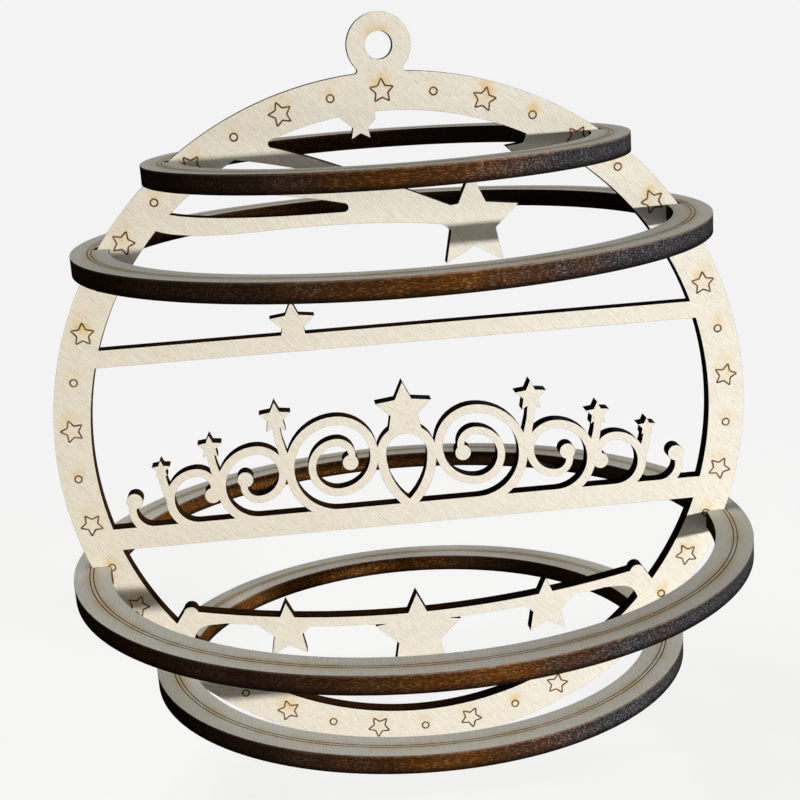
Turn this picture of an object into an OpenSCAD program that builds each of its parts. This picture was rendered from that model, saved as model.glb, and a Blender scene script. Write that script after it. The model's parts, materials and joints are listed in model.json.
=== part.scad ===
// Flat-pack wooden christmas bauble: one pierced round face plate carries four closed flat rings
// of different diameter, all cut from the same sheet. The origin is the centre of the hanging
// hole, +Z is up and the face plate stands in the XZ plane.

/* [Sheet] */
// Thickness of the plywood sheet that every piece is cut from
sheet_t = 3.0; // [2:0.1:5]
// Side clearance between the face plate and the walls of a ring's slot
slot_fit = 0.1; // [0.05:0.05:0.3]
// How far a ring's slot runs past the edge of the face plate
slot_over = 0.5; // [0.1:0.1:0.8]

/* [Face plate] */
// Outer radius of the face plate
rim_r = 58.5; // [54:0.5:75]
// Width of the plain rim round the openings
rim_w = 6.1; // [5:0.1:8]

/* [Hanging loop] */
// Radius of the hanging hole
hang_hole_r = 2.2; // [1.5:0.1:3.5]
// Width of the wood round the hanging hole
loop_w = 2.9; // [2:0.1:4]
// Height of the hanging hole's centre above the outer edge of the rim
loop_rise = 4.1; // [3.5:0.1:6]
// Radius of the inside corners where the loop meets the rim
loop_fillet = 0.5; // [0.3:0.1:1.2]

/* [Rings] */
// Width of each ring from its inner to its outer edge
ring_w = 6.2; // [5.5:0.1:9]
// Height of the top ring's middle above the face plate's centre
top_ring_z = 45.4; // [43:0.1:48]
// Depth to which the top ring laps over the face plate's edge
top_ring_lap = 1.8; // [1.2:0.1:3.5]
// Height of the upper ring's middle above the face plate's centre
upper_ring_z = 32.4; // [28:0.1:36]
// Depth to which the upper ring laps over the face plate's edge
upper_ring_lap = 2.0; // [1.2:0.1:3.5]
// Depth of the lower ring's middle below the face plate's centre
lower_ring_z = 21.5; // [18:0.1:26]
// Depth to which the lower ring laps over the face plate's edge
lower_ring_lap = 2.1; // [1.2:0.1:3.5]
// Depth of the base ring's middle below the face plate's centre
base_ring_z = 39.9; // [36:0.1:44]
// Depth to which the base ring laps over the face plate's edge
base_ring_lap = 1.5; // [1.2:0.1:3.5]

/* [Crossbars] */
// Height of the upper bar's underside above the face plate's centre
upper_bar_z = 14.5; // [12:0.1:18]
// Height of the upper bar's section
upper_bar_h = 2.9; // [2:0.1:5]
// Depth of the lower bar's top edge below the face plate's centre
lower_bar_z = 13.5; // [12:0.1:14.5]
// Height of the lower bar's section
lower_bar_h = 3.8; // [2.5:0.1:5]

/* [Stars] */
// Radius of a star's inside corners as a share of its tip radius
star_waist = 0.485; // [0.4:0.01:0.55]
// Tip radius of the comet's star
comet_star_r = 8.0; // [6:0.1:9]
// Tip radius of the small star below the top of the rim
top_star_r = 2.6; // [2:0.1:3.5]
// Angle of the rim at which the small star hangs
top_star_angle = 94.3; // [92:0.1:97]
// Tip radius of the star in the upper right of the rim
corner_star_r = 4.1; // [3:0.1:5]
// Angle of the rim at which that star leans
corner_star_angle = 62; // [60:0.5:64]
// Tip radius of the star on the upper bar
bar_star_r = 3.9; // [3:0.1:5.5]
// Distance of that star to the left of the face plate's upright middle line
bar_star_x = 17.4; // [10:0.1:25]
// Tip radius of the middle star of the garland
garland_star_r = 7.9; // [6:0.1:9]
// Tip radius of the two side stars of the garland
side_star_r = 5.3; // [4:0.1:6.5]

/* [Comet] */
// Distance of the comet's star from the face plate's upright middle line
comet_x = 13.5; // [10:0.5:18]
// Height of the comet's star above the face plate's centre
comet_z = 33.6; // [31:0.1:35]
// Width of the rounded inner end of the two slots in the comet's tail
tail_slot_w = 1.4; // [0.8:0.1:2]
// Distance from the comet's star to the inner ends of the two slots
tail_slot_x = 20.9; // [19:0.1:23]
// Height of the upper slot's inner end above the comet's star
upper_slot_z = 7.9; // [7.5:0.1:8.3]
// Height of the lower slot's inner end above the comet's star
lower_slot_z = 3.95; // [3.6:0.05:4.3]
// Angle of the rim at which the comet's tail begins
tail_from = 110.5; // [109.5:0.1:111.5]
// Angle of the rim at which the upper slot begins
upper_slot_from = 117.6; // [116.5:0.1:118.5]
// Angle of the rim at which the upper slot ends
upper_slot_to = 124; // [123:0.1:125]
// Angle of the rim at which the lower slot begins
lower_slot_from = 127.5; // [127:0.1:128.5]
// Angle of the rim at which the lower slot ends
lower_slot_to = 132.6; // [131.5:0.1:133.2]
// Angle of the rim at which the comet's tail ends
tail_to = 136.4; // [135.5:0.1:137.5]

/* [Garland] */
// Thickness of the garland that carries the three lower stars
garland_t = 1.7; // [1.2:0.1:3]
// Depth of the garland's ends below the face plate's centre
garland_z = 30.4; // [28:0.1:33]
// Sag of the garland at its middle
garland_sag = 4.2; // [2:0.1:5]
// Radius of the rounded lobes at the garland's ends
garland_lobe_r = 1.3; // [1:0.1:2]
// Depth of the notches between the lobes and the rim, below the garland's ends
garland_notch = 1.2; // [0.6:0.1:1.6]
// Extra height of the garland's section at its ends
garland_end_h = 1.2; // [0.6:0.1:2]
// Radius of the corners between the garland's ends and the rim
garland_corner_r = 2.9; // [1.6:0.1:3.6]
// Distance of the two side stars from the face plate's upright middle line
side_star_x = 22.85; // [18:0.1:28]

/* [Scrollwork] */
// Width of the cut scroll lines where they leave the bar
scroll_w = 1.6; // [1.2:0.1:2]
// Clear gap between the turns of a scroll
scroll_gap = 2.2; // [1.6:0.1:2.6]
// Radius of the first turn of the two large scrolls
scroll_r = 8.2; // [7:0.1:9]
// Size of each scroll as a share of the one beside it
scroll_step = 0.76; // [0.7:0.01:0.8]
// Number of scrolls on each side
scroll_count = 4; // [2:1:4]
// Half the width of the loop that carries the middle star
scroll_loop_r = 4.3; // [3.5:0.1:5]
// Tip radius of the star in the middle of the scrollwork
scroll_star_r = 5.0; // [4:0.1:6]
// Tip radius of the stars between the scrolls, as a share of the scroll beside them
bud_share = 0.34; // [0.25:0.01:0.4]

/* [Hidden] */
$fn = 180;

rim_in = rim_r - rim_w;
loop_r = hang_hole_r + loop_w;
hang_z = rim_r + loop_rise;
// Width by which shapes run into the wood that they join
bite = 0.4;
// Step from one half turn of a scroll to the next
scroll_pitch = (scroll_w + scroll_gap) / 2;
// Width of a scroll line at its inner end, and radius of its bead, as shares of scroll_w
scroll_taper = 0.75;
bead_share = 0.85;
// Largest angle and largest distance between neighbouring points of a curved stretch
arc_step = 8;
chord_max = 4;
// Angle of a star's arm tips over its middle
arm_angle = 18;
// Bends of the upper and lower edges of the two slots in the comet's tail, as the share of the
// way from the slot's inner end to the rim and the offset there
upper_bow = [[0.424, 0.7], [0.418, 1.5]];
lower_bow = [[0.49, 1.3], [0.75, -1.34]];
// Depths at which the garland's stars hang from its middle line, as shares of their radii
star_hang = 0.44;
side_star_hang = 0.34;
face_wood = "BlanchedAlmond";
ring_wood = "Peru";

// ---- Geometry helpers ----

// Half width of the face plate at a height
function edge_x(z) = sqrt(rim_r * rim_r - z * z);

// Half width of the opening inside the rim at a height
function inner_x(z) = sqrt(rim_in * rim_in - z * z);

// Half width of the face plate at the narrower face of the ring at a height
function seat_x(z) = edge_x(abs(z) + sheet_t / 2);

// Inner radius of the ring at a height
function ring_in(z, lap) = seat_x(z) - lap;

// Point on the rim's inner edge at an angle, moved outwards by a depth
function rim_point(angle, depth = 0) = (rim_in + depth) * [cos(angle), sin(angle)];

// Points of a smooth curve from a to c that heads for b at both ends
function curve(a, b, c, n = 16) =
    [for (i = [0:n]) let (t = i / n) (1 - t) * (1 - t) * a + 2 * t * (1 - t) * b + t * t * c];

// Point that an arc of radius r and turn s leads to from a point p and a heading h
function arc_end(p, h, r, s) =
    let (g = sign(s) * r) p + g * [sin(h + s) - sin(h), cos(h) - cos(h + s)];

// Points [x, y, heading] along a chain of arcs, each given as [radius, turn]
function chain(p, h, arcs, i = 0) =
    i == len(arcs) ? [] :
    let (r = arcs[i][0], s = arcs[i][1])
    let (n = max(2, ceil(abs(s) / arc_step), ceil(r * abs(s) * PI / 180 / chord_max)))
    concat(
        [for (k = [(i == 0 ? 0 : 1):n]) let (q = arc_end(p, h, r, s * k / n)) [q[0], q[1], h + s * k / n]],
        chain(arc_end(p, h, r, s), h + s, arcs, i + 1)
    );

// Point beside a chain's point, at a distance to its left
function beside(q, d) = [q[0] - d * sin(q[2]), q[1] + d * cos(q[2])];

// The same outline on the right (side 1) or turned over to the left (side -1)
function on_side(points, side) = side > 0 ? points :
    [for (i = [len(points) - 1:-1:0]) [-points[i][0], points[i][1]]];

// ---- Shared 2-D shapes ----

// Five-pointed star with one tip up
module star(tip_r) {
    polygon([for (i = [0:9]) let (r = i % 2 == 0 ? tip_r : tip_r * star_waist)
        r * [-sin(i * 36), cos(i * 36)]]);
}

// Line of even or tapering width along a chain of arcs, with round ends
module ribbon(path, w0, w1, side = 1) {
    last = len(path) - 1;
    half = [for (i = [0:last]) (w0 + (w1 - w0) * i / last) / 2];
    polygon(on_side(concat(
        [for (i = [0:last]) beside(path[i], -half[i])],
        [for (i = [last:-1:0]) beside(path[i], half[i])]
    ), side));
    translate([side * path[0][0], path[0][1]]) circle(d = w0, $fn = 32);
    translate([side * path[last][0], path[last][1]]) circle(d = w1, $fn = 32);
}

// ---- Face plate ----

// Round rim, with a shoulder cut on each side where a ring is seated
module rim() {
    difference() {
        circle(r = rim_r);
        circle(r = rim_in);
        for (z = [top_ring_z, upper_ring_z, -lower_ring_z, -base_ring_z]) {
            ring_shoulder(z);
            mirror([1, 0]) ring_shoulder(z);
        }
    }
}

// Waste outside the seat of the ring at a height, open towards the rim's narrower side
module ring_shoulder(z) {
    open = z > 0 ? 0 : -rim_w;
    translate([seat_x(z), z - sheet_t / 2 + open]) square([rim_r, sheet_t + rim_w]);
}

// Hanging loop, with small fillets where it meets the rim; its hole is bored later
module loop() {
    d_rim = rim_r + loop_fillet;
    d_loop = loop_r + loop_fillet;
    z = (d_rim * d_rim - d_loop * d_loop + hang_z * hang_z) / (2 * hang_z);
    x = sqrt(d_rim * d_rim - z * z);
    root = (rim_r - rim_w / 2) / d_rim;
    translate([0, hang_z]) circle(r = loop_r);
    difference() {
        polygon([[0, hang_z], [-x, z], root * [-x, z], root * [x, z], [x, z]]);
        for (side = [-1, 1]) translate([side * x, z]) circle(r = loop_fillet, $fn = 48);
    }
}

// Straight bar from rim to rim, with its underside at a height
module crossbar(z, h) {
    intersection() {
        circle(r = rim_in + bite);
        translate([-rim_r, z]) square([2 * rim_r, h]);
    }
}

// Small star below the top of the rim, left of the middle, widened into the rim above it
module top_star() {
    sink = 0.72 * top_star_r;
    arm = top_star_r * [cos(arm_angle), sin(arm_angle)];
    translate(rim_point(top_star_angle, -sink)) {
        star(top_star_r);
        polygon([[-arm[0], arm[1]], arm, [arm[0], top_star_r], [-2 * arm[0], top_star_r]]);
    }
}

// Star that leans against the rim at the upper right, filled out to the rim beside it
module corner_star() {
    sink = 0.6 * corner_star_r;
    arm = corner_star_r * [cos(arm_angle), sin(arm_angle)];
    translate(rim_point(corner_star_angle, -sink)) {
        star(corner_star_r);
        polygon([[0, 0], arm, [arm[0], corner_star_r], [0, corner_star_r]]);
    }
}

// Star that stands on the upper bar
module bar_star() {
    stand = 0.44 * bar_star_r;
    translate([-bar_star_x, upper_bar_z + upper_bar_h + stand]) star(bar_star_r);
}

// Comet: a large star with a tail that fans out to the rim in three strands
module comet() {
    head = [comet_x, comet_z];
    neck = head + star_waist * comet_star_r * [sin(-36), cos(-36)];
    // Round end of the opening above the tail, and the depth to which the tail runs into the rim
    round_r = 0.43 * tail_slot_w;
    round_at = rim_point(tail_from, -round_r);
    root = rim_w / 2;
    // Bends of the tail's upper and lower edges, from the comet's star
    top_bend = head + [-23.5, 12];
    low_bend = head + [-30, 1.3];
    near_bend = head + [-11.5, 1.4];
    far_bend = rim_point(tail_to - 1.9, -4.6);
    translate(head) star(comet_star_r);
    intersection() {
        circle(r = rim_in + bite);
        difference() {
            polygon(concat(
                [head],
                curve(neck - [1.2, 0.2], top_bend, round_at - [0, round_r]),
                [round_at + [0, round_r]],
                [rim_point(tail_from + 2.5, root), rim_point(tail_to - 2.4, root)],
                curve(rim_point(tail_to), far_bend, low_bend, 10),
                curve(low_bend, near_bend, head + [-3.6, -0.3])
            ));
            translate(round_at) circle(r = round_r, $fn = 32);
            tail_slot(head + [-tail_slot_x, upper_slot_z], upper_slot_from, upper_slot_to, upper_bow);
            tail_slot(head + [-tail_slot_x, lower_slot_z], lower_slot_from, lower_slot_to, lower_bow);
        }
    }
}

// Slot in the comet's tail, from its rounded inner end to two places on the rim. A bow gives, for
// its upper and its lower edge, the share of the way and the offset at which the edge bends
module tail_slot(tip, from, to, bow) {
    upper = tip + [0, tail_slot_w / 2];
    lower = tip - [0, tail_slot_w / 2];
    rim_a = rim_point(from);
    rim_b = rim_point(to);
    bend_a = upper + bow[0][0] * (rim_a - upper) + [0, bow[0][1]];
    bend_b = lower + bow[1][0] * (rim_b - lower) + [0, bow[1][1]];
    polygon(concat(curve(upper, bend_a, rim_a), curve(rim_b, bend_b, lower)));
    translate(tip) circle(d = tail_slot_w, $fn = 32);
}

// Garland: a thin sagging bar between two rounded lobes at the rim, with three stars
module garland() {
    lobe = [inner_x(garland_z) - 2.65 * garland_lobe_r, -garland_z + 0.25 * garland_lobe_r];
    bend = (lobe[0] * lobe[0] + garland_sag * garland_sag) / (2 * garland_sag);
    half_turn = asin(lobe[0] / bend);
    middle_z = -garland_z - garland_sag;
    side_rise = bend - sqrt(bend * bend - side_star_x * side_star_x);
    // Level of the underside near the rim, and where the sagging underside reaches it
    end_z = garland_z + garland_t / 2 + garland_end_h;
    end_x = sqrt(pow(bend + garland_t / 2, 2) - pow(bend + middle_z + end_z, 2));
    ribbon(chain([-lobe[0], -garland_z], -half_turn, [[bend, 2 * half_turn]]), garland_t, garland_t);
    translate([0, middle_z - star_hang * garland_star_r]) star(garland_star_r);
    for (side = [-1, 1]) {
        translate([side * side_star_x, middle_z + side_rise - side_star_hang * side_star_r])
            star(side_star_r);
        translate([side * lobe[0], lobe[1]]) circle(r = garland_lobe_r, $fn = 64);
        garland_corner(end_x, end_z, garland_corner_r, lobe, side);
    }
}

// Wood between the garland's lobe and the rim, notched above and rounded where its underside
// at a depth z meets the rim
module garland_corner(start, z, r, lobe, side) {
    notch_z = garland_z + garland_notch;
    flank = lobe + garland_lobe_r * [cos(arm_angle), sin(arm_angle)];
    x = inner_x(z + r) - 0.84 * r;
    intersection() {
        circle(r = rim_in + bite);
        difference() {
            polygon(on_side([
                [start, -z],
                [x, -z],
                [x, -z - r],
                [rim_in, -z - r],
                [rim_in, -notch_z],
                [inner_x(notch_z), -notch_z],
                flank,
                lobe,
                [start, -garland_z - garland_t / 2]
            ], side));
            translate([side * x, -z - r]) circle(r = r, $fn = 64);
        }
    }
}

// Radius of a scroll, counted from the middle
function scroll_size(k) = scroll_r * pow(scroll_step, k);

// Distance of a scroll from the middle line: the first touches the middle loop, each other
// one touches the scroll before it
function scroll_x(k) =
    k == 0 ? scroll_loop_r + scroll_w - bite + scroll_r - scroll_pitch :
    let (a = scroll_size(k - 1), b = scroll_size(k))
    let (reach = a + b - scroll_pitch + scroll_w - bite, rise = a - b - scroll_pitch)
    scroll_x(k - 1) + sqrt(reach * reach - rise * rise);

// One scroll: it leaves the lower bar, rises and rolls inwards to a round bead
module scroll(r, side) {
    last = floor((r - 1.2 * scroll_w) / scroll_pitch);
    turns = [for (k = [0:last]) [r - k * scroll_pitch, k == last ? 120 : 180]];
    path = chain([0, -scroll_w / 2], 0, turns);
    tip = path[len(path) - 1];
    ribbon(path, scroll_w, scroll_taper * scroll_w, side);
    translate([side * tip[0], tip[1]]) circle(r = bead_share * scroll_w, $fn = 32);
}

// Small star on a stem that grows from where two scrolls touch
module bud(k, side) {
    a = scroll_size(k);
    r = bud_share * a;
    stem = chain([scroll_x(k) + a, a], 66, [[2.4 * a, 22]]);
    tip = stem[len(stem) - 1];
    ribbon(stem, scroll_w, scroll_taper * scroll_w, side);
    translate([side * tip[0], tip[1] + r / 2]) star(r);
}

// Loop in the middle, pointed at the bar and round at the top, that carries the largest star
module centrepiece() {
    heading = 40;
    side_r = scroll_loop_r / (1 - sin(heading));
    top_z = side_r * cos(heading) + scroll_loop_r;
    half_loop = chain([0, -bite], heading, [[side_r, 90 - heading], [scroll_loop_r, 94]]);
    for (side = [-1, 1]) ribbon(half_loop, scroll_w, scroll_w, side);
    translate([0, top_z + 0.56 * scroll_star_r]) star(scroll_star_r);
}

// Scrollwork between the bars: scrolls that shrink to each side of a star
module scrollwork() {
    translate([0, -lower_bar_z]) {
        centrepiece();
        for (side = [-1, 1]) {
            for (k = [0:scroll_count - 1]) translate([side * scroll_x(k), 0]) scroll(scroll_size(k), side);
            for (k = [0:scroll_count - 2]) bud(k, side);
        }
    }
}

// The whole face plate, in the plane of the sheet
module face_outline() {
    rim();
    loop();
    crossbar(upper_bar_z, upper_bar_h);
    crossbar(-lower_bar_z - lower_bar_h, lower_bar_h);
    top_star();
    corner_star();
    bar_star();
    comet();
    garland();
    scrollwork();
}

module face_plate() {
    color(face_wood)
    difference() {
        translate([0, 0, -hang_z]) rotate([90, 0, 0])
            linear_extrude(height = sheet_t, center = true) face_outline();
        rotate([90, 0, 0]) cylinder(r = hang_hole_r, h = 2 * sheet_t, center = true, $fn = 96);
    }
}

// ---- Rings ----

// Flat ring at a height, with a slot on each side that grips the face plate
module ring(z, lap) {
    r_in = ring_in(z, lap);
    color(ring_wood)
    translate([0, 0, z - hang_z])
        linear_extrude(height = sheet_t, center = true)
            difference() {
                circle(r = r_in + ring_w);
                circle(r = r_in);
                square([2 * (seat_x(z) + slot_over), sheet_t + 2 * slot_fit], center = true);
            }
}

module ring_top() {
    ring(top_ring_z, top_ring_lap);
}

module ring_upper() {
    ring(upper_ring_z, upper_ring_lap);
}

module ring_lower() {
    ring(-lower_ring_z, lower_ring_lap);
}

module ring_base() {
    ring(-base_ring_z, base_ring_lap);
}

face_plate();
ring_top();
ring_upper();
ring_lower();
ring_base();
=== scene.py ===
"""Wooden christmas bauble: one pierced plywood face plate crossed by four flat plywood rings."""

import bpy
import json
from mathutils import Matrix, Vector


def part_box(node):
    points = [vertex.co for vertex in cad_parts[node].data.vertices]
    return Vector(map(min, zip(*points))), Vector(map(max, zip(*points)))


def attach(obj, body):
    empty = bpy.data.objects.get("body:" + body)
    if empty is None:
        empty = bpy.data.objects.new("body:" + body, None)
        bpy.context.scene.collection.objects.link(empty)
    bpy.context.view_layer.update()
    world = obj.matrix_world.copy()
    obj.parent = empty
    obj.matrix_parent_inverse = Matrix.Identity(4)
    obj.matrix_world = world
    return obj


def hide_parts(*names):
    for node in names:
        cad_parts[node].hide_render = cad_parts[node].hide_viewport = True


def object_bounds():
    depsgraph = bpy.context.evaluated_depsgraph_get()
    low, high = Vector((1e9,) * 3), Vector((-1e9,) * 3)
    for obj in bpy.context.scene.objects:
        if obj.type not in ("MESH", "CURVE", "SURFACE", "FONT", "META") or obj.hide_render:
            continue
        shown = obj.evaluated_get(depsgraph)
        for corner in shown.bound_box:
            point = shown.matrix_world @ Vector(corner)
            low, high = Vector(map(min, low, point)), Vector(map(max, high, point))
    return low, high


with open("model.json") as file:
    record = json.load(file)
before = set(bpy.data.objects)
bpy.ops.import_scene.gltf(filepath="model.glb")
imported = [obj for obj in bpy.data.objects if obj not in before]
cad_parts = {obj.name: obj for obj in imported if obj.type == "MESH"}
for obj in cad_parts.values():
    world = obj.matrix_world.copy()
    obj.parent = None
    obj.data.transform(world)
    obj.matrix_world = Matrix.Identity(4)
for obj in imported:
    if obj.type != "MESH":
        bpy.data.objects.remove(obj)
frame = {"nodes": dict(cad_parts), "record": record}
cad_box = [list(corner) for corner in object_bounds()]

import json
import math

import bmesh
import bpy
from bpy.props import FloatProperty, FloatVectorProperty, IntProperty, PointerProperty
from bpy.types import Operator, Panel, PropertyGroup
from mathutils import Vector

bl_info = {
    "name": "Wooden bauble",
    "version": (1, 0, 0),
    "blender": (4, 5, 0),
    "location": "3D View > Sidebar > Bauble",
    "description": "Builds a plywood bauble from a pierced face plate and four flat rings",
    "category": "Object",
}

MM = 0.001
PLATE = "face_plate"
RINGS = ("ring_top", "ring_upper", "ring_lower", "ring_base")
UPPER_RINGS = RINGS[:2]

plate_low, plate_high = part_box(PLATE)
SHEET_T = plate_high[1] - plate_low[1]
PLATE_R = (plate_high[0] - plate_low[0]) / 2
PLATE_CENTRE = Vector((0, 0, plate_low[2] + PLATE_R))
HOLE_R = frame["record"]["mounts"][0]["dims"]["r_mm"] * MM

# Material slots of a sheet's mesh
VENEER, CHAR, ENGRAVED = 0, 1, 2

# Directions of each sheet: along the face grain, across it, and through the plies
GRAIN = math.radians(133)
PLATE_AXES = ((math.cos(GRAIN), 0, math.sin(GRAIN)), (-math.sin(GRAIN), 0, math.cos(GRAIN)), (0, 1, 0))
RING_AXES = ((0, 1, 0), (1, 0, 0), (0, 0, 1))


# ---- Settings ----


class BaubleEngravingSettings(PropertyGroup):
    """Sizes of the burnt marks on the rim and the score lines on the rings."""

    mark_pairs: IntProperty(
        name="Mark pairs", description="Stars on the rim, each followed by a small circle",
        default=21, min=1, max=40)
    mark_inset: FloatProperty(
        name="Mark inset", description="Distance from the plate's outer edge to the row of marks",
        default=3.0 * MM, unit="LENGTH")
    star_radius: FloatProperty(
        name="Star radius", description="Tip radius of an engraved star",
        default=2.0 * MM, unit="LENGTH")
    star_waist: FloatProperty(
        name="Star waist", description="Radius of a star's inside corners over its tip radius",
        default=0.5, min=0.3, max=0.8)
    circle_radius: FloatProperty(
        name="Circle radius", description="Radius of an engraved circle",
        default=0.59 * MM, unit="LENGTH")
    line_width: FloatProperty(
        name="Line width", description="Width of the burnt line of a mark",
        default=0.27 * MM, unit="LENGTH")
    groove_depth: FloatProperty(
        name="Line depth", description="Depth to which a line is burnt into the wood",
        default=0.12 * MM, unit="LENGTH")
    score_width: FloatProperty(
        name="Score width", description="Width of one of the two score lines on a ring",
        default=0.2 * MM, unit="LENGTH")
    score_gap: FloatProperty(
        name="Score spacing", description="Distance between the two score lines on a ring",
        default=0.62 * MM, unit="LENGTH")


class BaubleEdgeSettings(PropertyGroup):
    """How the cut edges are finished."""

    edge_break: FloatProperty(
        name="Edge break", description="Width of the burnt chamfer along each cut edge",
        default=0.03 * MM, unit="LENGTH")
    arc_step: FloatProperty(
        name="Arc step", description="Longest straight step along the large round edges",
        default=1.0 * MM, unit="LENGTH")


class BaubleColours(PropertyGroup):
    """Colours of the woods and burns, with painted shade, sheen, glints and a highlight among them."""

    plate_veneer: FloatVectorProperty(
        name="Face plate", description="Raw veneer of the face plate", subtype="COLOR",
        size=3, min=0, max=1, default=(0.88, 0.82, 0.70))
    # Painted shade: the rings' veneer is greyer and cooler than the face plate's, standing in for the shade
    # on their flat tops
    ring_veneer_and_shade: FloatVectorProperty(
        name="Rings", description="Raw veneer of the rings", subtype="COLOR",
        size=3, min=0, max=1, default=(0.82, 0.80, 0.725))
    scorch: FloatVectorProperty(
        name="Scorch", description="Light scorching beside the burnt lines", subtype="COLOR",
        size=3, min=0, max=1, default=(0.76, 0.53, 0.19))
    burnt_line: FloatVectorProperty(
        name="Burnt line", description="Bottom of the engraved lines", subtype="COLOR",
        size=3, min=0, max=1, default=(0.085, 0.045, 0.017))
    char_dark: FloatVectorProperty(
        name="Char", description="Darkest char on the cut edges", subtype="COLOR",
        size=3, min=0, max=1, default=(0.006, 0.0045, 0.0035))
    char_brown: FloatVectorProperty(
        name="Brown char", description="Core ply cut along its grain", subtype="COLOR",
        size=3, min=0, max=1, default=(0.082, 0.029, 0.006))
    char_amber: FloatVectorProperty(
        name="Amber flecks", description="Lightest fibres where the core ply is cut along its grain",
        subtype="COLOR", size=3, min=0, max=1, default=(0.48, 0.21, 0.045))
    # Grey char: partly the end grain's own colour, partly painted sheen where the edge is painted lit; the
    # grey specks are painted glints
    char_grey: FloatVectorProperty(
        name="Grey char", description="Core ply cut across its grain", subtype="COLOR",
        size=3, min=0, max=1, default=(0.026, 0.025, 0.028))
    char_glint: FloatVectorProperty(
        name="Grey specks", description="Lightest specks where the core ply is cut across its grain",
        subtype="COLOR", size=3, min=0, max=1, default=(0.38, 0.37, 0.385))
    # Partly painted highlight: the tan line along a ring's upper rim stands partly for light catching that
    # edge
    edge_tan_and_highlight: FloatVectorProperty(
        name="Tan rim", description="Singed line along the upper rim of a ring's edge", subtype="COLOR",
        size=3, min=0, max=1, default=(0.40, 0.27, 0.17))


class BaubleStageSettings(PropertyGroup):
    """Floor, lamps and camera."""

    floor_drop: FloatProperty(
        name="Floor drop", description="Height at which the bauble hangs over the floor",
        default=10.0 * MM, unit="LENGTH")
    floor_size: FloatProperty(
        name="Floor size", description="Width of the floor", default=6.0, unit="LENGTH")
    floor_glow: FloatProperty(
        name="Floor glow", description="Tone added to the floor as it is seen", default=0.73, min=0)
    floor_colour: FloatVectorProperty(
        name="Floor colour", description="Colour with which the floor takes light", subtype="COLOR",
        size=3, min=0, max=1, default=(0.36, 0.357, 0.35))
    key_power: FloatProperty(
        name="Key power", description="Power of the main softbox", default=14.1, unit="POWER")
    key_distance: FloatProperty(
        name="Key distance", description="Distance of the main softbox", default=0.85, unit="LENGTH")
    key_turn: FloatProperty(
        name="Key turn", description="Angle by which the main softbox is turned off to the right",
        default=math.radians(9), subtype="ANGLE")
    key_tilt: FloatProperty(
        name="Key tilt", description="Angle by which the main softbox is tilted down",
        default=math.radians(60), subtype="ANGLE")
    key_width: FloatProperty(
        name="Key width", description="Width of the main softbox", default=0.16, unit="LENGTH")
    key_height: FloatProperty(
        name="Key height", description="Height of the main softbox", default=0.04, unit="LENGTH")
    key_azimuth: FloatProperty(
        name="Key azimuth", description="Angle by which the main softbox stands to the right",
        default=math.radians(30), subtype="ANGLE")
    key_elevation: FloatProperty(
        name="Key elevation", description="Angle by which the main softbox stands higher",
        default=math.radians(3), subtype="ANGLE")
    back_power: FloatProperty(
        name="Back power", description="Power of the softbox behind", default=15.0, unit="POWER")
    top_power: FloatProperty(
        name="Top power", description="Power of the overhead softbox", default=2.9, unit="POWER")
    world_strength: FloatProperty(
        name="World strength", description="Strength of the even light all round",
        default=0.045, min=0)
    backdrop: FloatProperty(
        name="Backdrop", description="Tone of the backdrop as it is seen", default=0.9, min=0)
    lens: FloatProperty(
        name="Lens", description="Focal length of the camera in millimetres", default=68.35)
    shift_x: FloatProperty(name="Shift X", description="Sideways shift of the lens", default=0.0018)
    shift_y: FloatProperty(name="Shift Y", description="Upward shift of the lens", default=0.0627)
    camera_place: FloatVectorProperty(
        name="Camera place", description="Camera's place relative to the face plate's centre",
        size=3, subtype="TRANSLATION", unit="LENGTH", default=(-0.01783, -0.24917, 0.06657))
    camera_turn: FloatVectorProperty(
        name="Camera turn", description="Camera's rotation about X, Y and Z", size=3,
        subtype="EULER", unit="ROTATION",
        default=(math.radians(74.086), math.radians(3.900), math.radians(-4.917)))


# ---- Outlines ----

# Vertices of a node closer than this are one
WELD = 1e-6
# Least share of a face's normal along the sheet's own that makes it part of the flat face
FLAT = 0.99
# A long step is part of an arc about the centre when its ends lie at one radius, which is not small,
# and its middle lies hardly nearer
SAME_RADIUS = 0.01 * MM
SMALL_RADIUS = 20 * MM
LARGEST_SAG = 0.1 * MM
# Keeps the mitre of a very sharp corner short
MITRE_LIMIT = 0.15
# Shares of a star's side that its rounded tips and inside corners take
TIP_ROUNDING, WAIST_ROUNDING = 0.2, 0.12
ROUNDING_STEPS = (0, 0.33, 0.67, 1)
CIRCLE_STEPS = 24


def cap_loops(node, axis, side):
    """Closed outlines of a sheet node's flat face, as (u, v) points with the wood on their left.

    axis is the sheet's normal, 1 for Y or 2 for Z, and side is -1 or 1 along it."""
    bm = bmesh.new()
    bm.from_mesh(frame["nodes"][node].data)
    bmesh.ops.remove_doubles(bm, verts=bm.verts, dist=WELD)
    bm.normal_update()
    step = {}
    for face in bm.faces:
        if face.normal[axis] * side < FLAT:
            continue
        for loop in face.loops:
            if sum(f.normal[axis] * side > FLAT for f in loop.edge.link_faces) == 1:
                step[loop.vert] = loop.link_loop_next.vert
    second = 2 if axis == 1 else 1
    loops = []
    while step:
        first, vert = next(iter(step.items()))
        points = [first]
        del step[first]
        while vert is not first:
            points.append(vert)
            vert = step.pop(vert)
        loops.append([(p.co.x, p.co[second]) for p in points])
    bm.free()
    return loops


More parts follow.
